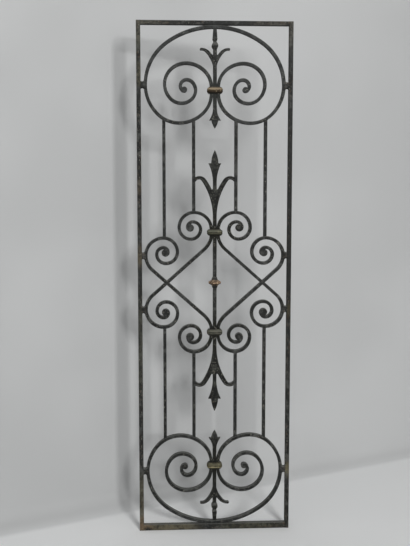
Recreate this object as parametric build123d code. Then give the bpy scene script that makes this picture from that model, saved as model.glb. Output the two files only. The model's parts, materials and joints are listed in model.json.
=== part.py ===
from build123d import *
from math import acos, atan2, cos, degrees, hypot, radians, sin, sqrt
import os

# Wrought iron grille, drawn upright in millimetres. X runs across the grille, Y from its front to its
# back and Z upwards. The origin is in the middle of the bottom edge, halfway through the depth.

# Frame
WIDTH = 480
HEIGHT = 1600
FRAME_DEPTH = 16
STILE_WIDTH = 13
TOP_RAIL_HEIGHT = 13
BOTTOM_RAIL_HEIGHT = 19
FRAME_EDGE = 1.2

# Bars inside the frame
SCROLL_THICKNESS = 10
SCROLL_DEPTH = 14
STEM_WIDTH = 11.5
STEM_DEPTH = 12
UPRIGHT_WIDTH = 10
UPRIGHT_DEPTH = 12
COLLAR_RUN = 19
OUTER_UPRIGHT_INSET = 57.9
INNER_UPRIGHT_OFFSET = 65.5

# Volutes: drops are measured from the middle of the crown, offsets from the middle of the grille
VOLUTE_STILE_GAP = 9.3
VOLUTE_SIDE_DROP = 174
VOLUTE_LOOP_DROP = 288.5
VOLUTE_LOOP_INSET = 102.7
VOLUTE_COLLAR_DROP = 190
VOLUTE_CROWN_ANGLE = 36
VOLUTE_ANGLE = 45
VOLUTE_EYE = 4
LOWER_VOLUTE_SINK = 3

# Where a volute's spiral turns level or upright, as offset and drop, a quarter turn from one to the next
VOLUTE_SPIRAL = ((88, 108.5), (154, 171.5), (102.5, 229), (59.3, 189.5), (86.5, 158), (105.8, 177), (94, 192))

# S-scrolls: levels are measured from the middle height of the grille
SCROLL_STILE_GAP = 7.1
MIDDLE_COLLAR_LEVEL = 157
INNER_SCROLL_LEVEL = 219.4
INNER_SCROLL_OFFSET = 64.3
INNER_SCROLL_ANGLE = 30
INNER_SCROLL_RADII = (46.6, 36.6, 30, 23.9, 16.7, 8.5)
OUTER_SCROLL_LEVEL = 85
OUTER_SCROLL_RADII = (55, 43.5, 36, 28.5, 21, 14.5, 8.5)
SCROLL_EYE = 6.6
COLLAR_BEND_RADIUS = 45
COLLAR_BEND_ANGLE = 25
COLLAR_BEND_CORNER = 33.1
CROSSING_INSET = 65.1
LAP_CLEARANCE = 0.15

# Leafed spears, by level from the middle height
LEAF_ROOT_LEVEL = 205
LEAF_TOP_LEVEL = 326.5
LEAF_TOP_OFFSET = 47.5
LEAF_LEAN_ANGLE = 0
LEAF_BEND_ANGLE = 35
LEAF_ROOT_THICKNESS = 15
LEAF_TIP_THICKNESS = 10.5
LEAF_DROOP_RADIUS = 19.4
LEAF_DROOP_ANGLE = 50
LEAF_CROTCH_RADIUS = 2.5
LONG_SPEAR_TIP_LEVEL = 412
LONG_SPEAR_POINT = 41
LONG_SPEAR_FLARE = 59
LONG_SPEAR_BARB_WIDTH = 39.4
LONG_SPEAR_BODY_WIDTH = 22
LONG_SPEAR_BULGE = 2.4

# Finials, by drop from the middle of the crown
NECK_WIDTH = 10
FIRST_BEAD_DROP = 37
FIRST_BEAD_WIDTH = 15
WAIST_DROP = 44
SECOND_BEAD_DROP = 56
SECOND_BEAD_WIDTH = 19.5
SECOND_BEAD_EDGE = 4
LOWER_NECK_DROP = 67
SHORT_LEAF_ROOT_DROP = 115
SHORT_LEAF_TIP_DROP = 66.3
SHORT_LEAF_TIP_OFFSET = 41
SHORT_LEAF_LEAN_ANGLE = 14
SHORT_LEAF_BEND_ANGLE = 30
SHORT_LEAF_ROOT_THICKNESS = 12
SHORT_LEAF_TIP_THICKNESS = 6.5
SHORT_LEAF_DROOP_RADIUS = 30
SHORT_LEAF_DROOP_ANGLE = 4
SHORT_LEAF_CROTCH_RADIUS = 1.5
SHORT_SPEAR_TIP_DROP = 305.5
SHORT_SPEAR_POINT = 25
SHORT_SPEAR_FLARE = 37.5
SHORT_SPEAR_BARB_WIDTH = 36.5
SHORT_SPEAR_BODY_WIDTH = 21
SHORT_SPEAR_BULGE = 1.4

# Grooves along the leaves, and the thinning of the spears towards the point
GROOVE_WIDTH = 3
GROOVE_SINK = 1.6
POINT_DEPTH = 3

# Collars, knop and studs
COLLAR_HEIGHT = 19.4
COLLAR_SLEEVE = 3.5
COLLAR_BEAD_PROUD = 8.5
COLLAR_BEAD_HEIGHT = 9.4
COLLAR_OUTER_ROUND = 7.7
COLLAR_GROOVE_ROUND = 1.6
COLLAR_CORNER = 9.5
KNOP_SIDES = 8
KNOP_WIDTH = 38
KNOP_RIM_HEIGHT = 5
KNOP_SHOULDER_WIDTH = 20
KNOP_BEAD_HEIGHT = 16
KNOP_TAPER_WIDTH = 19
KNOP_END_WALL = 1
KNOP_HEIGHT = 34
STUD_HEIGHT = 25
STUD_DEPTH = 16
STUD_WAIST = 2.5
STUD_ROUND = 4

HALF_BAR = SCROLL_THICKNESS / 2
BUNDLE_OFFSET = STEM_WIDTH / 2 + HALF_BAR
MIDDLE = HEIGHT / 2
UPPER_CROWN = HEIGHT - TOP_RAIL_HEIGHT - HALF_BAR
STILE_INSIDE = WIDTH / 2 - STILE_WIDTH
VOLUTE_SIDE = STILE_INSIDE - VOLUTE_STILE_GAP - HALF_BAR
OUTER_SCROLL_SIDE = STILE_INSIDE - SCROLL_STILE_GAP - HALF_BAR
VOLUTE_LOOP_OFFSET = VOLUTE_SIDE - VOLUTE_LOOP_INSET
OUTER_UPRIGHT_OFFSET = OUTER_SCROLL_SIDE - OUTER_UPRIGHT_INSET
CROSSING_OFFSET = OUTER_SCROLL_SIDE - CROSSING_INSET
DIAMOND_SLOPE = degrees(atan2(CROSSING_OFFSET - BUNDLE_OFFSET, MIDDLE_COLLAR_LEVEL - COLLAR_BEND_CORNER))


def away(point, heading, distance):
    """The point at a distance from another, in a heading given in degrees."""
    angle = radians(heading)
    return (point[0] + distance * cos(angle), point[1] + distance * sin(angle))


def follow(start, heading, moves):
    """Runs of a bent bar's middle line. A move is (radius, turn), left positive, or (length, 0)."""
    runs = []
    for size, turn in moves:
        if turn:
            side = 1 if turn > 0 else -1
            centre = away(start, heading + 90 * side, size)
            first = heading - 90 * side
            runs.append((centre, size, first, turn))
            start = away(centre, first + turn, size)
            heading += turn
        else:
            runs.append((start, size, heading, 0))
            start = away(start, heading, size)
    return runs, start, heading


def edge_beside(run, left):
    """The line or arc that lies a distance to the left of one run."""
    origin, size, first, turn = run
    if turn:
        side = 1 if turn > 0 else -1
        return CenterArc(origin, size - side * left, first, turn)
    start = away(origin, first + 90, left)
    return Line(start, away(start, first, size))


def arc_pair(along, across, first_turn, second_turn):
    """Radii of two tangent arcs with known turns, from how far they lead ahead and to the side."""
    a = radians(first_turn)
    b = radians(first_turn + second_turn)
    ahead = (sin(a), sin(b) - sin(a))
    aside = (1 - cos(a), cos(a) - cos(b))
    scale = ahead[0] * aside[1] - ahead[1] * aside[0]
    first = (along * aside[1] - across * ahead[1]) / scale
    second = (across * ahead[0] - along * aside[0]) / scale
    return first, second


def quarter_moves(along, across, bend, side):
    """Moves for a quarter turn made of two arcs, to the left for side 1 and to the right for -1."""
    first, second = arc_pair(along, across, bend, 90 - bend)
    return [(first, side * bend), (second, side * (90 - bend))]


def spiral_moves(radii, side):
    """One quarter turn for each radius."""
    return [(radius, 90 * side) for radius in radii]


def meeting(run, side, half, eye_centre, eye_radius):
    """How far along a run, in degrees, its inner edge meets the eye, or None."""
    centre, radius, first, turn = run
    inner = radius - half
    dx = eye_centre[0] - centre[0]
    dy = eye_centre[1] - centre[1]
    gap = hypot(dx, dy)
    if side * turn <= 0 or not abs(inner - eye_radius) < gap < inner + eye_radius:
        return None
    bearing = degrees(atan2(dy, dx))
    spread = degrees(acos((gap**2 + inner**2 - eye_radius**2) / (2 * gap * inner)))
    reached = [side * (bearing + sign * spread - first) % 360 for sign in (-1, 1)]
    reached = [angle for angle in reached if angle < abs(turn)]
    return min(reached) if reached else None


def curled_edges(runs, half, eye):
    """Outline of a bar whose end is rolled into a solid eye, open at its start."""
    centre, radius, first, turn = runs[-1]
    side = 1 if turn > 0 else -1
    last = first + turn
    eye_centre = away(centre, last, radius - eye)
    eye_radius = eye + half
    edges = [edge_beside(run, -side * half) for run in runs]
    for run in runs:
        reached = meeting(run, side, half, eye_centre, eye_radius)
        if reached is None:
            edges.append(edge_beside(run, side * half))
            continue
        trimmed = (run[0], run[1], run[2], side * reached)
        edges.append(edge_beside(trimmed, side * half))
        corner = away(run[0], run[2] + side * reached, run[1] - half)
        break
    bearing = degrees(atan2(corner[1] - eye_centre[1], corner[0] - eye_centre[0]))
    around = side * (bearing - last) % 360
    edges.append(CenterArc(eye_centre, eye_radius, last, side * around))
    return edges


def upright_plate(face, depth):
    """A face drawn with Y upwards, stood on XZ and given its depth about the middle plane."""
    return extrude(Plane.XZ * face, amount=depth / 2, both=True)


def flip(shape):
    """The same shape upside down, about the grille's middle height."""
    return mirror(shape, about=Plane.XY.offset(MIDDLE))


def other_side(shape):
    """The same shape on the other side of the grille."""
    return mirror(shape, about=Plane.YZ)


def symmetric_face(edges):
    """Face bounded by the edges on the right of the middle line and by their mirror images."""
    return make_face(edges + [mirror(edge, about=Plane.YZ) for edge in edges])


def block(x_span, y_span, z_span):
    """A box between two values on each axis."""
    spans = (x_span, y_span, z_span)
    sizes = [high - low for low, high in spans]
    centre = [(high + low) / 2 for low, high in spans]
    return Pos(*centre) * Box(*sizes)


def longest(shape):
    """The largest of the pieces that a cut leaves."""
    return max(shape.solids(), key=lambda solid: solid.volume)


def stile():
    """The right stile, full height, with its long edges eased."""
    half_depth = FRAME_DEPTH / 2
    bar = block((STILE_INSIDE, WIDTH / 2), (-half_depth, half_depth), (0, HEIGHT))
    return fillet(bar.edges().filter_by(Axis.Z), FRAME_EDGE)


def rail(low, high):
    """A rail that fits between the stiles."""
    half_depth = FRAME_DEPTH / 2
    bar = block((-STILE_INSIDE, STILE_INSIDE), (-half_depth, half_depth), (low, high))
    return fillet(bar.edges().filter_by(Axis.X), FRAME_EDGE)


def volute(crown, sink):
    """The upper volute, from one bar. Below the crown every drop is shortened by the sink."""
    side_fall = VOLUTE_SIDE_DROP - sink
    loop_fall = VOLUTE_LOOP_DROP - VOLUTE_SIDE_DROP
    loop_width = VOLUTE_SIDE - VOLUTE_LOOP_OFFSET
    loop_rise = VOLUTE_LOOP_DROP - VOLUTE_COLLAR_DROP - COLLAR_RUN / 2
    moves = quarter_moves(VOLUTE_SIDE, side_fall, VOLUTE_CROWN_ANGLE, -1)
    moves += quarter_moves(loop_fall, loop_width, VOLUTE_ANGLE, -1)
    moves += quarter_moves(VOLUTE_LOOP_OFFSET - BUNDLE_OFFSET, loop_rise, VOLUTE_ANGLE, -1)
    moves.append((COLLAR_RUN, 0))
    offset, drop = BUNDLE_OFFSET, VOLUTE_COLLAR_DROP - COLLAR_RUN / 2
    upright = True
    for next_offset, next_drop in VOLUTE_SPIRAL:
        sides = (abs(next_drop - drop), abs(next_offset - offset))
        along, across = sides if upright else reversed(sides)
        moves += quarter_moves(along, across, VOLUTE_ANGLE, -1)
        offset, drop, upright = next_offset, next_drop, not upright
    runs, _, _ = follow((0, crown), 0, moves)
    return upright_plate(symmetric_face(curled_edges(runs, HALF_BAR, VOLUTE_EYE)), SCROLL_DEPTH)


def falling_scroll():
    """The right S-scroll from the upper middle collar to the lower outer scroll, with no lap cut."""
    start = (BUNDLE_OFFSET, MIDDLE + MIDDLE_COLLAR_LEVEL)
    rise = INNER_SCROLL_LEVEL - MIDDLE_COLLAR_LEVEL - COLLAR_RUN / 2
    up = [(COLLAR_RUN / 2, 0)]
    up += quarter_moves(rise, INNER_SCROLL_OFFSET - BUNDLE_OFFSET, INNER_SCROLL_ANGLE, -1)
    up += spiral_moves(INNER_SCROLL_RADII, -1)
    up_runs, _, _ = follow(start, 90, up)

    # Below the collar the bar bends out until it lies on the straight line through the crossing
    bend = [(COLLAR_RUN / 2, 0), (COLLAR_BEND_RADIUS, COLLAR_BEND_ANGLE)]
    _, point, _ = follow(start, -90, bend)
    slope = radians(DIAMOND_SLOPE)
    offset = (point[0] - CROSSING_OFFSET) * cos(slope) + (point[1] - MIDDLE) * sin(slope)
    rest_turn = DIAMOND_SLOPE - COLLAR_BEND_ANGLE
    bend.append((offset / (1 - cos(radians(rest_turn))), rest_turn))
    _, point, _ = follow(start, -90, bend)

    # The straight side ends where the arc beside the stile begins
    reach = OUTER_SCROLL_SIDE - CROSSING_OFFSET
    side_radius = (OUTER_SCROLL_LEVEL * sin(slope) - reach * cos(slope)) / (1 - cos(slope))
    arc_level = MIDDLE - OUTER_SCROLL_LEVEL + side_radius * sin(slope)
    straight = (point[1] - arc_level) / cos(slope)
    down = bend + [(straight, 0), (side_radius, -DIAMOND_SLOPE)]
    down += spiral_moves(OUTER_SCROLL_RADII, -1)
    down_runs, _, _ = follow(start, -90, down)

    edges = curled_edges(up_runs, HALF_BAR, SCROLL_EYE) + curled_edges(down_runs, HALF_BAR, SCROLL_EYE)
    return upright_plate(make_face(edges), SCROLL_DEPTH)


def lap_cutter(slope, side):
    """Half the depth of the bar that crosses at a slope, on its back for side 1 and its front for -1."""
    length = 4 * SCROLL_THICKNESS
    cutter = Box(SCROLL_THICKNESS + 2 * LAP_CLEARANCE, SCROLL_DEPTH, length)
    return Pos(CROSSING_OFFSET, side * SCROLL_DEPTH / 2, MIDDLE) * Rot(0, slope, 0) * cutter


def half_outline(points):
    """Straight lines from point to point, on the right of the middle line."""
    return [Line(start, end) for start, end in zip(points, points[1:])]


def spear_outline(tip, point, flare, barb_width, body_width, bulge):
    """Right-hand edge of a barbed spear that points up, from the start of its flare to its tip."""
    barb = tip - point
    flare_start = (STEM_WIDTH / 2, barb - flare)
    barb_tip = (barb_width / 2, barb)
    shoulder = (body_width / 2, barb)
    return [
        TangentArc(flare_start, barb_tip, tangent=(0, 1)),
        Line(barb_tip, shoulder),
        SagittaArc(shoulder, (0, tip), -bulge),
    ]


def depth_profile(points):
    """A side view, given by its front half, pushed through the full width of the grille."""
    face = symmetric_face(half_outline(points))
    return extrude(Plane.YZ * face, amount=WIDTH / 2, both=True)


def leaf_side(root, target, shape, root_offset, tip_offset):
    """The line beside a leaf's middle line, at one distance from it at the root and another at the tip."""
    lean, bend, droop_radius, droop_turn = shape
    start = away(root, 180 - lean, root_offset)
    rise = target[1] + tip_offset - start[1]
    reach = target[0] - start[0]
    angle = radians(lean)
    along = rise * cos(angle) + reach * sin(angle)
    across = reach * cos(angle) - rise * sin(angle)
    rest = 90 - lean - bend
    first, second = arc_pair(along, across, bend, rest)
    moves = [(first, -bend), (second, -rest), (droop_radius + tip_offset, -droop_turn)]
    return follow(start, 90 - lean, moves)


def leaf(root, target, shape, root_half, tip_half):
    """Face of a leaf that tapers from its root to a round tip, and the first arc of its upper edge."""
    upper, upper_end, heading = leaf_side(root, target, shape, root_half, tip_half)
    lower, lower_end, _ = leaf_side(root, target, shape, -root_half, -tip_half)
    tip = ((upper_end[0] + lower_end[0]) / 2, (upper_end[1] + lower_end[1]) / 2)
    across_root = 180 - shape[0]
    edges = [edge_beside(run, 0) for run in upper + lower]
    edges.append(CenterArc(tip, tip_half, heading + 90, -180))
    edges.append(Line(away(root, across_root, root_half), away(root, across_root, -root_half)))
    return make_face(edges), upper[0]


def crotch(leaf_arc, radius):
    """Metal that rounds the bottom of the V between the stem and the first arc of a leaf's upper edge."""
    (centre_x, foot), leaf_radius, _, _ = leaf_arc
    side = STEM_WIDTH / 2
    across = centre_x - side - radius
    level = foot + sqrt((leaf_radius + radius) ** 2 - across**2)
    hollow = (side + radius, level)
    bearing = degrees(atan2(foot - level, across))
    touch = away(hollow, bearing, radius)
    edges = [
        Line((0, foot), (0, level)),
        Line((0, level), (side, level)),
        CenterArc(hollow, radius, 180, 180 + bearing),
        Line(touch, (0, foot)),
    ]
    return make_face(edges)


def leafed_stem(stem_edges, root_level, target, shape, thicknesses, radius):
    """Stem with a grooved leaf on each side. Its edges are given on the right of the middle line."""
    root_thickness, tip_thickness = thicknesses
    root = ((STEM_WIDTH - root_thickness) / 2, root_level)
    leaf_face, upper_arc = leaf(root, target, shape, root_thickness / 2, tip_thickness / 2)
    groove_face, _ = leaf(root, target, shape, GROOVE_WIDTH / 2, GROOVE_WIDTH / 2)
    right_half = Pos(WIDTH / 4, root_level) * Rectangle(WIDTH / 2, HEIGHT)
    side_face = (leaf_face + crotch(upper_arc, radius)) & right_half
    stem = symmetric_face(stem_edges)
    solid = upright_plate(stem + side_face + other_side(side_face), STEM_DEPTH)
    groove = upright_plate(groove_face, STEM_DEPTH)
    core = upright_plate(leaf_face, STEM_DEPTH - 2 * GROOVE_SINK)
    groove = groove - core - upright_plate(stem, STEM_DEPTH)
    return solid - groove - other_side(groove)


def leafed_spear(inner_upright):
    """The upper leafed spear. Its foot is inside the collar and its leaves end on the inner uprights."""
    foot = MIDDLE + MIDDLE_COLLAR_LEVEL
    tip = MIDDLE + LONG_SPEAR_TIP_LEVEL
    barb = tip - LONG_SPEAR_POINT
    side = STEM_WIDTH / 2
    edges = half_outline([(0, foot), (side, foot), (side, barb - LONG_SPEAR_FLARE)])
    edges += spear_outline(
        tip,
        LONG_SPEAR_POINT,
        LONG_SPEAR_FLARE,
        LONG_SPEAR_BARB_WIDTH,
        LONG_SPEAR_BODY_WIDTH,
        LONG_SPEAR_BULGE,
    )
    solid = leafed_stem(
        edges,
        MIDDLE + LEAF_ROOT_LEVEL,
        (LEAF_TOP_OFFSET, MIDDLE + LEAF_TOP_LEVEL),
        (LEAF_LEAN_ANGLE, LEAF_BEND_ANGLE, LEAF_DROOP_RADIUS, LEAF_DROOP_ANGLE),
        (LEAF_ROOT_THICKNESS, LEAF_TIP_THICKNESS),
        LEAF_CROTCH_RADIUS,
    )
    half_depth = STEM_DEPTH / 2
    front = [(0, foot), (half_depth, foot), (half_depth, barb), (POINT_DEPTH / 2, tip), (0, tip)]
    solid &= depth_profile(front)
    return solid - inner_upright - other_side(inner_upright)


def baluster(neck_width, neck_drop):
    """Edge of the finial's baluster, drawn down from the crown to a neck of a given width."""
    bead = SECOND_BEAD_WIDTH / 2
    bead_half = SECOND_BEAD_EDGE / 2
    return [
        (0, 0),
        (NECK_WIDTH / 2, 0),
        (NECK_WIDTH / 2, -HALF_BAR),
        (FIRST_BEAD_WIDTH / 2, -FIRST_BEAD_DROP),
        (NECK_WIDTH / 2, -WAIST_DROP),
        (bead, -SECOND_BEAD_DROP + bead_half),
        (bead, -SECOND_BEAD_DROP - bead_half),
        (neck_width / 2, -neck_drop),
        (0, -neck_drop),
    ]


def finial(crown, volute_bar):
    """The upper finial, hung from the crown: baluster, leaves, stem and a spear that points down."""
    side = STEM_WIDTH / 2
    barb_drop = SHORT_SPEAR_TIP_DROP - SHORT_SPEAR_POINT
    flare_drop = barb_drop - SHORT_SPEAR_FLARE
    edges = half_outline([(0, -LOWER_NECK_DROP), (side, -LOWER_NECK_DROP), (side, -flare_drop)])
    spear = spear_outline(
        SHORT_SPEAR_TIP_DROP,
        SHORT_SPEAR_POINT,
        SHORT_SPEAR_FLARE,
        SHORT_SPEAR_BARB_WIDTH,
        SHORT_SPEAR_BODY_WIDTH,
        SHORT_SPEAR_BULGE,
    )
    edges += [mirror(edge, about=Plane.XZ) for edge in spear]
    stem = leafed_stem(
        edges,
        -SHORT_LEAF_ROOT_DROP,
        (SHORT_LEAF_TIP_OFFSET, -SHORT_LEAF_TIP_DROP),
        (SHORT_LEAF_LEAN_ANGLE, SHORT_LEAF_BEND_ANGLE, SHORT_LEAF_DROOP_RADIUS, SHORT_LEAF_DROOP_ANGLE),
        (SHORT_LEAF_ROOT_THICKNESS, SHORT_LEAF_TIP_THICKNESS),
        SHORT_LEAF_CROTCH_RADIUS,
    )
    half_depth = STEM_DEPTH / 2
    tip = -SHORT_SPEAR_TIP_DROP
    front = [(0, 0), (half_depth, 0), (half_depth, -barb_drop), (POINT_DEPTH / 2, tip), (0, tip)]
    stem &= depth_profile(front)

    # The baluster has four sides, so its front view and its side view are the same
    face = symmetric_face(half_outline(baluster(STEM_WIDTH, LOWER_NECK_DROP)))
    turned = upright_plate(face, SECOND_BEAD_WIDTH) & depth_profile(baluster(STEM_DEPTH, LOWER_NECK_DROP))
    return Pos(0, 0, crown) * (stem + turned) - volute_bar


def collar_band():
    """The upper one of a collar's two beads, still solid in the middle, standing on the XY plane."""
    bundle = STEM_WIDTH + 2 * SCROLL_THICKNESS
    proud = 2 * COLLAR_BEAD_PROUD
    outline = RectangleRounded(bundle + proud, SCROLL_DEPTH + proud, COLLAR_CORNER)
    band = extrude(outline, amount=COLLAR_BEAD_HEIGHT)
    band = fillet(band.faces().sort_by(Axis.Z)[-1].edges(), COLLAR_OUTER_ROUND)
    return fillet(band.faces().sort_by(Axis.Z)[0].edges(), COLLAR_GROOVE_ROUND)


def collar(level, bars):
    """A moulded collar round a bundle of three bars: a sleeve and two rounded beads."""
    bundle = STEM_WIDTH + 2 * SCROLL_THICKNESS
    sleeve = 2 * COLLAR_SLEEVE
    solid = Box(bundle + sleeve, SCROLL_DEPTH + sleeve, COLLAR_HEIGHT)
    band = collar_band()
    solid += band + mirror(band, about=Plane.XY)
    solid -= Box(bundle, SCROLL_DEPTH, COLLAR_HEIGHT)
    solid = Pos(0, 0, level) * solid
    for bar in bars:
        solid -= bar
    return solid


def centre_bar():
    """The plain bar between the two middle collars."""
    half_width = STEM_WIDTH / 2
    half_depth = STEM_DEPTH / 2
    ends = (MIDDLE - MIDDLE_COLLAR_LEVEL, MIDDLE + MIDDLE_COLLAR_LEVEL)
    return block((-half_width, half_width), (-half_depth, half_depth), ends)


def facets(width):
    """A regular outline of the knop, as wide as given between two flat sides, one of them in front."""
    return RegularPolygon(width / 2, KNOP_SIDES, major_radius=False, rotation=180 / KNOP_SIDES)


def knop(bar):
    """The knop that is threaded on the centre bar: a faceted bead between two short tapers."""
    rim = KNOP_RIM_HEIGHT / 2
    shoulder = KNOP_BEAD_HEIGHT / 2
    end = KNOP_HEIGHT / 2
    heights = (-shoulder, -rim, rim, shoulder)
    widths = (KNOP_SHOULDER_WIDTH, KNOP_WIDTH, KNOP_WIDTH, KNOP_SHOULDER_WIDTH)
    solid = loft([Pos(0, 0, z) * facets(width) for z, width in zip(heights, widths)], ruled=True)
    wall = 2 * KNOP_END_WALL
    for sign in (-1, 1):
        wide = Pos(0, 0, sign * shoulder) * Rectangle(KNOP_TAPER_WIDTH, KNOP_TAPER_WIDTH)
        narrow = Pos(0, 0, sign * end) * Rectangle(STEM_WIDTH + wall, STEM_DEPTH + wall)
        solid += loft([wide, narrow], ruled=True)
    return Pos(0, 0, MIDDLE) * solid - bar


def stud(level, bar_side, bar):
    """A short waisted block between the right stile and the bar whose middle line is at bar_side."""
    middle = (bar_side + HALF_BAR + STILE_INSIDE) / 2
    half = STUD_HEIGHT / 2
    edges = []
    for sign in (-1, 1):
        corner = (STILE_INSIDE, level + sign * half)
        waist = (middle, level + sign * (half - STUD_WAIST))
        inner = (2 * middle - STILE_INSIDE, level + sign * half)
        edges += [ThreePointArc(corner, waist, inner), Line(inner, (bar_side, inner[1]))]
        edges += [Line((x, level), (x, inner[1])) for x in (STILE_INSIDE, bar_side)]
    solid = upright_plate(make_face(edges), STUD_DEPTH)
    solid = fillet(solid.edges().filter_by(GeomType.CIRCLE), STUD_ROUND)
    return longest(solid - bar)


def upright(offset, bars):
    """The upper plain bar at an offset from the middle, its ends cut to the bars it stands between."""
    half_width = UPRIGHT_WIDTH / 2
    half_depth = UPRIGHT_DEPTH / 2
    foot = MIDDLE + OUTER_SCROLL_LEVEL
    head = UPPER_CROWN - VOLUTE_SIDE_DROP
    solid = block((offset - half_width, offset + half_width), (-half_depth, half_depth), (foot, head))
    for bar in bars:
        solid -= bar
    return longest(solid)


def upper_half(crown, sink):
    """The upper pieces on the middle line and on the right, for a crown height and a volute's sink."""
    volute_bar = volute(crown, sink)
    crown += sink
    falling = falling_scroll()
    rising = flip(falling)
    inner = upright(INNER_UPRIGHT_OFFSET, [volute_bar, falling])
    middle = {
        "volute": volute_bar,
        "finial": finial(crown, volute_bar),
        "leafed_spear": leafed_spear(inner),
        "volute_collar": collar(crown - VOLUTE_COLLAR_DROP, [volute_bar]),
        "middle_collar": collar(MIDDLE + MIDDLE_COLLAR_LEVEL, [falling, other_side(falling)]),
    }
    right = {
        "inner_upright": inner,
        "outer_upright": upright(OUTER_UPRIGHT_OFFSET, [volute_bar, rising]),
        "volute_stud": stud(crown - VOLUTE_SIDE_DROP, VOLUTE_SIDE, volute_bar),
        "scroll_stud": stud(MIDDLE + OUTER_SCROLL_LEVEL, OUTER_SCROLL_SIDE, rising),
    }
    return middle, right


def grille():
    """Every piece of the grille by name."""
    nodes = {
        "frame_top_rail": rail(HEIGHT - TOP_RAIL_HEIGHT, HEIGHT),
        "frame_bottom_rail": rail(0, BOTTOM_RAIL_HEIGHT),
        "frame_right_stile": stile(),
        "frame_left_stile": other_side(stile()),
        "centre_bar": centre_bar(),
        "centre_knop": knop(centre_bar()),
    }

    # The lower half is the upper one upside down, but its volute stands on a taller rail and is flatter
    lower_crown = UPPER_CROWN - BOTTOM_RAIL_HEIGHT + TOP_RAIL_HEIGHT
    for level, crown, sink in (("upper", UPPER_CROWN, 0), ("lower", lower_crown, LOWER_VOLUTE_SINK)):
        middle, right = upper_half(crown, sink)
        for name, shape in middle.items():
            nodes[level + "_" + name] = shape if level == "upper" else flip(shape)
        for name, shape in right.items():
            placed = shape if level == "upper" else flip(shape)
            nodes[level + "_right_" + name] = placed
            nodes[level + "_left_" + name] = other_side(placed)

    # The bars that rise from the lower collar pass in front at both crossings
    falling = falling_scroll() - lap_cutter(DIAMOND_SLOPE, -1)
    rising = flip(falling_scroll()) - lap_cutter(-DIAMOND_SLOPE, 1)
    for level, scroll in (("upper", falling), ("lower", rising)):
        nodes[level + "_right_scroll"] = scroll
        nodes[level + "_left_scroll"] = other_side(scroll)
    return nodes


os.makedirs("parts", exist_ok=True)
for name, shape in grille().items():
    export_step(shape, "parts/" + name + ".step")
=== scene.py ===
import json
import math

import bpy
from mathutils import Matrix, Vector


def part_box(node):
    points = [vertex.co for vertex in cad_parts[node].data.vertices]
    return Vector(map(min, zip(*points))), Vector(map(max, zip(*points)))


# Looks of the wrought iron grille. Everything is in metres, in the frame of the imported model.
# Tones are 8-bit sRGB values.

# Camera: place, degrees that it looks down and to the right, lens and sensor width in millimetres
CAMERA_PLACE = (-0.161, -2.553, 1.086)
CAMERA_DOWN = 5.72
CAMERA_RIGHT = 2.93
CAMERA_LENS = 54.07
CAMERA_SENSOR = 36

# Backdrop: a wall that sweeps forward into the floor. It stands further back on the right
FOLD_PLACE = (-0.33, 0.169, 0)
FOLD_ANGLE = 24.4
SWEEP_RADIUS = 0.06
SWEEP_STEPS = 16
STAGE_HALF_WIDTH = 2.6
STAGE_DEPTH = 4
STAGE_TOP = 3.4

# The wall's paint gets lighter from left to right, a painted light that evens out the key light
# falling off to the right, with faint clouds. The floor is paler from the fold on
WALL_TONES = ((182, 183, 183), (200, 201, 201))
WALL_LIGHT_DRIFT = (-0.3, 1.1)
CLOUD_SCALE = 1.3
CLOUD_SPAN = (0.35, 0.65)
CLOUD_SHARE = 0.4
FLOOR_TONE = (249, 250, 250)
FLOOR_FADE = (0.015, -0.06)
PAPER_ROUGHNESS = 0.9
PAPER_SPECULAR = 0.1

# Soft lights: place, side length and power in watts. They face the middle of the grille
KEY_PLACE = (1.35, -5, 2.2)
KEY_SIZE = 1.1
KEY_POWER = 200
TOP_PLACE = (-0.2, -0.9, 3.3)
TOP_SIZE = 1.8
TOP_POWER = 14
LIGHT_TARGET = (0, 0, 0.8)

# How strongly the sky lights the grille, and how bright the camera sees it
SKY_STRENGTH = 0.07
SKY_SEEN = 0.45

# Rounded edges of the bars: width, steps and the least angle of an edge in degrees
BAR_BEVEL = 0.0009
BEVEL_STEPS = 2
BEVEL_ANGLE = 35

# Scales of the paint's patterns, in waves to a metre
BROAD_SCALE = 9
PATCH_SCALE = 75
DENT_SCALE = 85
FLAKE_SCALE = 150
BLOTCH_SCALE = 170
CHIP_SCALE = 230
GRAIN_SCALE = 420

# Ranges of the patterns over which a tone or the wear comes in, and where rubbing and rust are full
BROAD_SPAN = (0.35, 0.65)
PATCH_SPAN = (0.46, 0.66)
CHIP_SPAN = (0.63, 0.7)
CHIPPED_AREA = (0.42, 0.56)
RUSTY_AREA = (0.38, 0.62)
GRAIN_SPAN = (0.2, 0.6)
RUBBED_FULL = 0.8
RUST_FULL = 0.74

# Edges: how far they are rubbed, samples, and the cosines of the turn over which rubbing comes in
EDGE_REACH = 0.0016
EDGE_SAMPLES = 4
EDGE_TURN = (0.995, 0.86)

# Dust that also stands as a painted highlight on upper edges, and painted shade on what faces
# down: how far they reach round an edge, samples, and the slopes that gather them, where 1 faces up
# and -1 faces down
SLOPE_REACH = 0.0042
SLOPE_SAMPLES = 8
DUST_AND_HIGHLIGHT_SLOPE = (0.06, 0.7)
PAINTED_SHADE_SLOPE = (-0.06, -0.6)

# Beaten surface: depth and strength, and the shares of the dents, the grain and the flaked rust
DENT_DEPTH = 0.0012
DENT_STRENGTH = 0.6
DENT_SHARE = 0.6
GRAIN_SHARE = 0.16
FLAKE_SHARE = 0.25

# Roughness of the paint, what patches and rust add to it, and the strength of its shine
PAINT_ROUGHNESS = 0.5
PATCH_ROUGHNESS = 0.2
RUST_ROUGHNESS = 0.25
PAINT_SPECULAR = 0.12

# Tones of the iron's paint: most of it, darker stretches and lighter patches
IRON = ((38, 39, 38), (27, 28, 27), (71, 72, 70))
FORGED_IRON = ((28, 29, 27), (19, 20, 19), (58, 59, 55))

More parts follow.
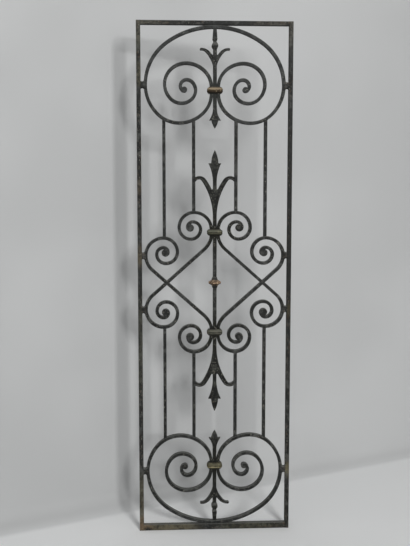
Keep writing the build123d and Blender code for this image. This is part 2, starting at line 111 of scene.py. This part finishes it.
# Tones of what age adds, of dust with its painted highlight and of painted shade on undersides, and
# the most that these cover
RUST = (84, 64, 46)
WORN = (116, 114, 106)
DUST_AND_HIGHLIGHT = (118, 119, 115)
DUST_AND_HIGHLIGHT_SHARE = 0.65
PAINTED_SHADE_TONE = (20, 20, 18)
PAINTED_SHADE_SHARE = 0.7

# Spots: how far their outline wanders, the share of their reach where they are full, and the range
# of the patches over which they come in
SPOT_WAVE = 0.09
SPOT_CORE = 0.4
SPOT_COVER = (0.3, 0.6)

# Rubbed brass and copper of the collars and the knop: little dust and painted highlight, and where
# rust and wear come in
RUBBED_DUST_AND_HIGHLIGHT_SHARE = 0.15
RUBBED_RUST_FROM = 0.54
RUBBED_WORN_FROM = 0.38

# Copper bead of the knop: half height, the ragged edge of its paint, its tones and its blotches, which
# are also painted glints and shade of its facets
KNOP_BEAD = 0.0084
KNOP_FADE = 0.0008
KNOP_WAVE = 0.003
KNOP_PAINT = ((116, 95, 76), (74, 57, 43), (164, 141, 118))
KNOP_WORN = (192, 172, 148)
KNOP_BRIGHT = (176, 150, 124)
KNOP_DARK = (68, 52, 40)
BRIGHT_BLOTCHES = (0.52, 0.62)
DARK_BLOTCHES = (0.46, 0.38)

# Levels of a collar's tones above its middle: where each comes in and where it goes again. A cover
# is the range of the patches over which a tone comes in. The crest and ridge tones are rubbed metal
# with a painted highlight and shade, and the dark tone is painted shade in the groove and lower rim
COLLAR_WAVE = 0.005
CREST_IN = (0.0006, 0.0024)
CREST_OUT = (0.0086, 0.0058)
CREST_COVER = (0.2, 0.55)
RIDGE_IN = (-0.0004, -0.0018)
RIDGE_OUT = (-0.0074, -0.0046)
RIDGE_COVER = (0.34, 0.56)
GROOVE_OUT = (0.0016, 0.0004)
RIM_IN = (-0.0052, -0.0078)
COLLAR_SHADE_SHARE = 0.85

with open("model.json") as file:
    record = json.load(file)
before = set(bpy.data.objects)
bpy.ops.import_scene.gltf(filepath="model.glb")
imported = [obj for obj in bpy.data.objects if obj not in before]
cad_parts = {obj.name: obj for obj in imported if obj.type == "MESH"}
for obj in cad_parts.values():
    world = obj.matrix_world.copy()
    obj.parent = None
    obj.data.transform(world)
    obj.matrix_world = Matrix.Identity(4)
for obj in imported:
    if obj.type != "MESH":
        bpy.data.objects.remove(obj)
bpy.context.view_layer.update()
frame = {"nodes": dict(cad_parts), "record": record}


class Nodes:
    """Short ways to add and join shader nodes of one material."""

    def __init__(self, name):
        self.material = bpy.data.materials.new(name)
        self.material.use_nodes = True
        self.tree = self.material.node_tree
        self.surface = self.tree.nodes["Principled BSDF"]

    def add(self, kind, **settings):
        """A node of a kind. A setting is a property of the node, or else one of its inputs."""
        node = self.tree.nodes.new(kind)
        for name, value in settings.items():
            if hasattr(node, name):
                setattr(node, name, value)
            else:
                self.put(node.inputs[name], value)
        return node

    def put(self, socket, value):
        """Give a socket a value, or join it to another node's output."""
        if isinstance(value, bpy.types.NodeSocket):
            self.tree.links.new(value, socket)
        else:
            socket.default_value = value

    def noise(self, place, scale, detail, roughness=0.55):
        """Noise of about 0 to 1 that changes from place to place."""
        node = self.add("ShaderNodeTexNoise", Vector=place, Scale=scale)
        self.put(node.inputs["Detail"], detail)
        self.put(node.inputs["Roughness"], roughness)
        return node.outputs["Fac"]

    def axis(self, vector, name):
        """One of the three values of a vector."""
        return self.add("ShaderNodeSeparateXYZ", Vector=vector).outputs[name]

    def vectors(self, operation, first, second):
        """One number from two vectors."""
        node = self.add("ShaderNodeVectorMath", operation=operation)
        self.put(node.inputs[0], first)
        self.put(node.inputs[1], second)
        return node.outputs["Value"]

    def math(self, operation, first, second=0.0, third=0.0):
        """One sum, from numbers or outputs."""
        node = self.add("ShaderNodeMath", operation=operation)
        for socket, value in zip(node.inputs, (first, second, third)):
            self.put(socket, value)
        return node.outputs[0]

    def span(self, value, low, high):
        """A value taken from the range low to high on to 0 to 1, smoothly and kept inside it."""
        node = self.add("ShaderNodeMapRange", interpolation_type="SMOOTHSTEP")
        self.put(node.inputs["Value"], value)
        self.put(node.inputs["From Min"], low)
        self.put(node.inputs["From Max"], high)
        return node.outputs["Result"]

    def wave(self, pattern, width):
        """A pattern of 0 to 1 as a shift of up to half a width to either side."""
        return self.math("MULTIPLY_ADD", pattern, width, -width / 2)

    def mix(self, amount, first, second):
        """Colour between two colours."""
        node = self.add("ShaderNodeMix", data_type="RGBA")
        self.put(node.inputs["Factor"], amount)
        self.put(node.inputs["A"], first)
        self.put(node.inputs["B"], second)
        return node.outputs["Result"]


def tone(red, green, blue):
    """A colour given by its 8-bit sRGB values."""
    parts = []
    for value in (red, green, blue):
        share = value / 255
        parts.append(share / 12.92 if share <= 0.04045 else ((share + 0.055) / 1.055) ** 2.4)
    return (*parts, 1)


def middle(name):
    """The middle of a node."""
    low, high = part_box(name)
    return (low + high) / 2


def wear(n, place, broad, patches, rounded, worn_from):
    """How far the paint is rubbed off, along the edges and in small chips."""
    face = n.add("ShaderNodeNewGeometry").outputs["True Normal"]
    edge = n.span(n.vectors("DOT_PRODUCT", rounded, face), *EDGE_TURN)
    rubbed = n.math("MULTIPLY", edge, n.span(patches, worn_from, RUBBED_FULL))
    chips = n.span(n.noise(place, CHIP_SCALE, detail=2, roughness=0.5), *CHIP_SPAN)
    chipped = n.math("MULTIPLY", chips, n.span(broad, *CHIPPED_AREA))
    return n.math("MAXIMUM", rubbed, chipped)


def flaked(n, place, broad, rust_from):
    """How far the paint has flaked off to rust."""
    flakes = n.span(n.noise(place, FLAKE_SCALE, detail=6, roughness=0.68), rust_from, RUST_FULL)
    return n.math("MULTIPLY", flakes, n.span(broad, *RUSTY_AREA))


def dust_highlight_and_shade(n, grain, colour, dust_and_highlight_share):
    """Dust and a painted highlight on upper faces and edges, and painted shade on what faces down."""
    bevelled = n.add("ShaderNodeBevel", samples=SLOPE_SAMPLES, Radius=SLOPE_REACH).outputs["Normal"]
    slope = n.axis(bevelled, "Z")
    # Dust on upper faces and edges, which also serves as a painted highlight where the light falls on
    # top
    dust_and_highlight = n.math("MULTIPLY", n.span(slope, *DUST_AND_HIGHLIGHT_SLOPE), n.span(grain, *GRAIN_SPAN))
    # Painted shade: darkens what faces down, as if it were out of the light
    painted_shade = n.math("MULTIPLY", n.span(slope, *PAINTED_SHADE_SLOPE), PAINTED_SHADE_SHARE)
    colour = n.mix(n.math("MULTIPLY", dust_and_highlight, dust_and_highlight_share), colour, tone(*DUST_AND_HIGHLIGHT))
    return n.mix(painted_shade, colour, tone(*PAINTED_SHADE_TONE))


def beaten(n, place, grain, rusty, rounded):
    """Hammer marks, brush grain and the thickness of flaked paint, as a bent surface direction."""
    dents = n.add("ShaderNodeTexVoronoi", feature="SMOOTH_F1", Vector=place, Scale=DENT_SCALE)
    brushed = n.math("MULTIPLY", grain, GRAIN_SHARE)
    height = n.math("MULTIPLY_ADD", dents.outputs["Distance"], DENT_SHARE, brushed)
    height = n.math("SUBTRACT", height, n.math("MULTIPLY", rusty, FLAKE_SHARE))
    bump = n.add("ShaderNodeBump", Strength=DENT_STRENGTH, Distance=DENT_DEPTH)
    n.put(bump.inputs["Height"], height)
    n.put(bump.inputs["Normal"], rounded)
    return bump.outputs["Normal"]


def old_paint(name, paint, worn, rust_from, worn_from, marks=None, dust_and_highlight_share=DUST_AND_HIGHLIGHT_SHARE):
    """Old brushed paint on iron, with its own marks, rubbed edges, rust, dust with a painted highlight,
    painted shade below and a beaten surface.

    Rust shows where the flakes are above rust_from, and edges are rubbed where the patches are
    above worn_from, so a lower number gives more of it.
    """
    n = Nodes(name)
    place = n.add("ShaderNodeTexCoord").outputs["Object"]
    rounded = n.add("ShaderNodeBevel", samples=EDGE_SAMPLES, Radius=EDGE_REACH).outputs["Normal"]
    broad = n.noise(place, BROAD_SCALE, detail=3)
    patches = n.noise(place, PATCH_SCALE, detail=5, roughness=0.65)
    grain = n.noise(place, GRAIN_SCALE, detail=3, roughness=0.6)
    rusty = flaked(n, place, broad, rust_from)

    most, darker, lighter = paint
    colour = n.mix(n.span(broad, *BROAD_SPAN), tone(*most), tone(*darker))
    colour = n.mix(n.span(patches, *PATCH_SPAN), colour, tone(*lighter))
    if marks:
        colour = marks(n, place, patches, colour)
    colour = n.mix(wear(n, place, broad, patches, rounded, worn_from), colour, tone(*worn))
    colour = n.mix(rusty, colour, tone(*RUST))
    n.put(n.surface.inputs["Base Color"], dust_highlight_and_shade(n, grain, colour, dust_and_highlight_share))

    roughness = n.math("MULTIPLY_ADD", patches, PATCH_ROUGHNESS, PAINT_ROUGHNESS)
    n.put(n.surface.inputs["Roughness"], n.math("MULTIPLY_ADD", rusty, RUST_ROUGHNESS, roughness))
    n.surface.inputs["Specular IOR Level"].default_value = PAINT_SPECULAR
    n.put(n.surface.inputs["Normal"], beaten(n, place, grain, rusty, rounded))
    return n.material


def spots(places):
    """Marks with a ragged outline. A place is a centre, a reach, a tone and a strength."""

    def marks(n, place, patches, colour):
        ragged = n.wave(patches, SPOT_WAVE)
        for centre, reach, spot, strength in places:
            distance = n.math("ADD", n.vectors("DISTANCE", place, centre), ragged)
            near = n.math("MULTIPLY", n.span(distance, reach, reach * SPOT_CORE), strength)
            covered = n.math("MULTIPLY", near, n.span(patches, *SPOT_COVER))
            colour = n.mix(covered, colour, tone(*spot))
        return colour

    return marks


def frame_marks():
    """Worn, rusty and olive stained places of the rails and stiles, and painted shade over most of
    the right stile.
    """
    right = middle("frame_right_stile").x
    left = middle("frame_left_stile").x
    top = middle("frame_top_rail").z
    bottom = middle("frame_bottom_rail").z
    places = (
        ((-0.15, 0, bottom), 0.13, (100, 94, 76), 0.75),
        ((0.12, 0, bottom), 0.14, (74, 74, 60), 0.6),
        ((left, 0, 0.02), 0.05, (116, 96, 74), 0.6),
        ((left, 0, 0.6), 0.2, (72, 72, 62), 0.5),
        ((left, 0, 0.11), 0.1, (96, 92, 76), 0.5),
        ((left, 0, 1.44), 0.05, (100, 95, 78), 0.6),
        ((left, 0, 1.57), 0.08, (80, 80, 68), 0.6),
        ((left, 0, 0.885), 0.05, (102, 92, 72), 0.55),
        ((left, 0, 1.1), 0.03, (104, 92, 74), 0.5),
        ((right, 0, 0.195), 0.035, (112, 104, 78), 0.7),
        ((right, 0, 0.715), 0.03, (104, 98, 72), 0.6),
        # Painted shade: darkens most of the right stile, which the key light from the right lights more
        # than the left
        ((right, 0, 0.95), 0.5, (24, 24, 23), 0.7),
        ((0.2, 0, top), 0.12, (98, 96, 88), 0.4),
        ((-0.2, 0, top), 0.1, (98, 96, 88), 0.4),
    )
    return spots(places)


def inner_marks():
    """Paler paint at the top and darker round the collars, on the bars inside the frame."""
    places = (
        ((0, 0, 1.47), 0.34, (62, 64, 63), 0.6),
        # Darker round the collars, where the bars crowd together
        (middle("upper_volute_collar"), 0.07, (32, 35, 30), 0.6),
        (middle("upper_middle_collar"), 0.1, (20, 21, 14), 0.95),
        (middle("lower_middle_collar"), 0.1, (20, 21, 14), 0.95),
        (middle("lower_volute_collar"), 0.085, (24, 25, 19), 0.8),
    )
    return spots(places)


def knop_marks(n, place, patches, colour):
    """Bright and dark blotches on the bead of the knop, blotched paint that also stands as painted
    glints and shade of its facets. Its tapers are painted like the bars.
    """
    blotches = n.noise(place, BLOTCH_SCALE, detail=2)
    # Bright and dark blotches: blotched paint that also stands as painted glints and shade of the
    # facets
    colour = n.mix(n.span(blotches, *BRIGHT_BLOTCHES), colour, tone(*KNOP_BRIGHT))
    colour = n.mix(n.span(blotches, *DARK_BLOTCHES), colour, tone(*KNOP_DARK))
    level = n.math("SUBTRACT", n.axis(place, "Z"), middle("centre_knop").z)
    off = n.math("ADD", n.math("ABSOLUTE", level), n.wave(patches, KNOP_WAVE))
    painted = n.span(off, KNOP_BEAD - KNOP_FADE, KNOP_BEAD + KNOP_FADE)
    return n.mix(painted, colour, tone(*IRON[0]))


def rubbed_metal(name, paint, worn, marks):
    """Worn paint over brass or copper, which rubbing keeps nearly free of dust; the painted highlight
    that goes with the dust is faint there as well.
    """
    return old_paint(name, paint, worn, RUBBED_RUST_FROM, RUBBED_WORN_FROM, marks, RUBBED_DUST_AND_HIGHLIGHT_SHARE)


def collar_paint(name, node, paint, worn, upper, lower, dark):
    """Worn paint of a collar: tones of its two beads, which are rubbed metal and a painted highlight
    and shade, and painted shade in the groove and on the lower rim.
    """

    def marks(n, place, patches, colour):
        level = n.math("SUBTRACT", n.axis(place, "Z"), middle(node).z)
        above = n.math("ADD", level, n.wave(n.noise(place, BLOTCH_SCALE, detail=2), COLLAR_WAVE))
        # Crest of the upper bead and ridge of the lower: rubbed metal together with painted highlight
        # and shade
        crest = n.math("MULTIPLY", n.span(above, *CREST_IN), n.span(above, *CREST_OUT))
        crest = n.math("MULTIPLY", crest, n.span(patches, *CREST_COVER))
        colour = n.mix(crest, colour, tone(*upper))
        ridge = n.math("MULTIPLY", n.span(above, *RIDGE_IN), n.span(above, *RIDGE_OUT))
        ridge = n.math("MULTIPLY", ridge, n.span(patches, *RIDGE_COVER))
        colour = n.mix(ridge, colour, tone(*lower))
        # Painted shade in the groove between the beads and on the rim below
        groove = n.span(n.math("ABSOLUTE", above), *GROOVE_OUT)
        groove_and_rim_shade = n.math("MAXIMUM", groove, n.span(above, *RIM_IN))
        return n.mix(n.math("MULTIPLY", groove_and_rim_shade, COLLAR_SHADE_SHARE), colour, tone(*dark))

    return rubbed_metal(name, paint, worn, marks)


def collar_looks():
    """The four collars: gold, olive, grey and bronze, from the top down."""
    # Each collar's dark tone is the painted shade of its groove and lower rim
    return {
        "collar_gold": collar_paint(
            "collar_gold",
            "upper_volute_collar",
            paint=((84, 70, 51), (50, 40, 28), (112, 96, 73)),
            worn=(160, 142, 114),
            upper=(143, 128, 105),
            lower=(54, 42, 29),
            dark=(27, 21, 14),
        ),
        "collar_olive": collar_paint(
            "collar_olive",
            "upper_middle_collar",
            paint=((66, 65, 54), (52, 51, 43), (80, 78, 66)),
            worn=(118, 113, 94),
            upper=(96, 98, 84),
            lower=(72, 72, 58),
            dark=(30, 29, 23),
        ),
        "collar_grey": collar_paint(
            "collar_grey",
            "lower_middle_collar",
            paint=((68, 68, 60), (54, 54, 47), (84, 84, 74)),
            worn=(124, 121, 104),
            upper=(94, 94, 84),
            lower=(88, 88, 78),
            dark=(40, 40, 33),
        ),
        "collar_bronze": collar_paint(
            "collar_bronze",
            "lower_volute_collar",
            paint=((66, 63, 47), (45, 43, 31), (92, 87, 64)),
            worn=(158, 151, 124),
            upper=(88, 84, 64),
            lower=(152, 144, 112),
            dark=(40, 38, 27),
        ),
    }


def looks():
    """The material of each slot."""
    outer = frame_marks()
    inner = inner_marks()
    return {
        "frame_iron": old_paint("frame_iron", IRON, WORN, rust_from=0.52, worn_from=0.44, marks=outer),
        "scroll_iron": old_paint("scroll_iron", IRON, WORN, rust_from=0.6, worn_from=0.5, marks=inner),
        "forged_iron": old_paint(
            "forged_iron", FORGED_IRON, WORN, rust_from=0.58, worn_from=0.44, marks=inner
        ),
        "centre_iron": old_paint("centre_iron", IRON, WORN, rust_from=0.58, worn_from=0.5, marks=inner),
        "upright_iron": old_paint("upright_iron", IRON, WORN, rust_from=0.58, worn_from=0.5),
        "stud_iron": old_paint("stud_iron", IRON, WORN, rust_from=0.5, worn_from=0.47),
        "knop_copper": rubbed_metal("knop_copper", KNOP_PAINT, KNOP_WORN, knop_marks),
        **collar_looks(),
    }


def dress_nodes():
    """Give each node of the frame its material and soft edges."""
    materials = looks()
    for part in frame["record"]["subparts"]:
        node = frame["nodes"][part["node"]]
        node.data.materials.clear()
        node.data.materials.append(materials[part["material_slot"]])
        bevel = node.modifiers.new("soft_edges", "BEVEL")
        bevel.width = BAR_BEVEL
        bevel.segments = BEVEL_STEPS
        bevel.limit_method = "ANGLE"
        bevel.angle_limit = math.radians(BEVEL_ANGLE)
        bevel.harden_normals = False


def backdrop_paper():
    """Pale paper. It is clear from behind, so that it doesn't hide the back of the grille."""
    n = Nodes("backdrop_paper")
    place = n.add("ShaderNodeTexCoord").outputs["Object"]
    clouds = n.span(n.noise(place, CLOUD_SCALE, detail=2), *CLOUD_SPAN)
    # Painted light: the wall is painted lighter to the right, where the key light falls off
    light_drift = n.span(n.axis(place, "X"), *WALL_LIGHT_DRIFT)
    lighter = n.math("MULTIPLY_ADD", light_drift, 1 - CLOUD_SHARE, n.math("MULTIPLY", clouds, CLOUD_SHARE))
    wall = n.mix(lighter, tone(*WALL_TONES[0]), tone(*WALL_TONES[1]))
    on_floor = n.span(n.axis(place, "Y"), *FLOOR_FADE)
    n.put(n.surface.inputs["Base Color"], n.mix(on_floor, wall, tone(*FLOOR_TONE)))
    behind = n.add("ShaderNodeNewGeometry").outputs["Backfacing"]
    n.put(n.surface.inputs["Alpha"], n.math("SUBTRACT", 1, behind))
    n.surface.inputs["Roughness"].default_value = PAPER_ROUGHNESS
    n.surface.inputs["Specular IOR Level"].default_value = PAPER_SPECULAR
    return n.material


def backdrop():
    """One sheet that is the wall, a round sweep and the floor, turned to stand at an angle."""
    profile = [(SWEEP_RADIUS / 2, STAGE_TOP)]
    for step in range(SWEEP_STEPS + 1):
        angle = math.pi / 2 * step / SWEEP_STEPS
        across = SWEEP_RADIUS / 2 - SWEEP_RADIUS * (1 - math.cos(angle))
        profile.append((across, SWEEP_RADIUS * (1 - math.sin(angle))))
    profile.append((-STAGE_DEPTH, 0))
    verts = []
    for y, z in profile:
        verts += [(-STAGE_HALF_WIDTH, y, z), (STAGE_HALF_WIDTH, y, z)]
    faces = [(2 * i, 2 * i + 2, 2 * i + 3, 2 * i + 1) for i in range(len(profile) - 1)]
    mesh = bpy.data.meshes.new("backdrop")
    mesh.from_pydata(verts, [], faces)
    mesh.shade_smooth()
    mesh.materials.append(backdrop_paper())
    sheet = bpy.data.objects.new("backdrop", mesh)
    sheet.location = FOLD_PLACE
    sheet.rotation_euler = (0, 0, math.radians(FOLD_ANGLE))
    bpy.context.scene.collection.objects.link(sheet)


def soft_light(name, place, size, power):
    """A square lamp that faces the middle of the grille."""
    data = bpy.data.lights.new(name, "AREA")
    data.size = size
    data.energy = power
    lamp = bpy.data.objects.new(name, data)
    lamp.location = place
    facing = Vector(LIGHT_TARGET) - Vector(place)
    lamp.rotation_euler = facing.to_track_quat("-Z", "Y").to_euler()
    bpy.context.scene.collection.objects.link(lamp)


def sky():
    """A dim even sky, which looks pale where the camera sees it past the sheet."""
    world = bpy.data.worlds.new("studio")
    world.use_nodes = True
    tree = world.node_tree
    background = tree.nodes["Background"]
    background.inputs["Color"].default_value = (1, 1, 1, 1)
    seen = tree.nodes.new("ShaderNodeLightPath")
    strength = tree.nodes.new("ShaderNodeMath")
    strength.operation = "MULTIPLY_ADD"
    strength.inputs[1].default_value = SKY_SEEN - SKY_STRENGTH
    strength.inputs[2].default_value = SKY_STRENGTH
    tree.links.new(seen.outputs["Is Camera Ray"], strength.inputs[0])
    tree.links.new(strength.outputs[0], background.inputs["Strength"])
    return world


def camera():
    """The camera, where the photo was taken from."""
    data = bpy.data.cameras.new("camera")
    data.sensor_width = CAMERA_SENSOR
    data.lens = CAMERA_LENS
    viewer = bpy.data.objects.new("camera", data)
    viewer.location = CAMERA_PLACE
    viewer.rotation_euler = (math.radians(90 - CAMERA_DOWN), 0, math.radians(-CAMERA_RIGHT))
    bpy.context.scene.collection.objects.link(viewer)
    return viewer


def studio():
    """The sky, two soft lamps and the camera."""
    scene = bpy.context.scene
    scene.world = sky()
    soft_light("key_light", KEY_PLACE, KEY_SIZE, KEY_POWER)
    soft_light("top_light", TOP_PLACE, TOP_SIZE, TOP_POWER)
    scene.camera = camera()
    scene.view_settings.view_transform = "Standard"


dress_nodes()
backdrop()
studio()
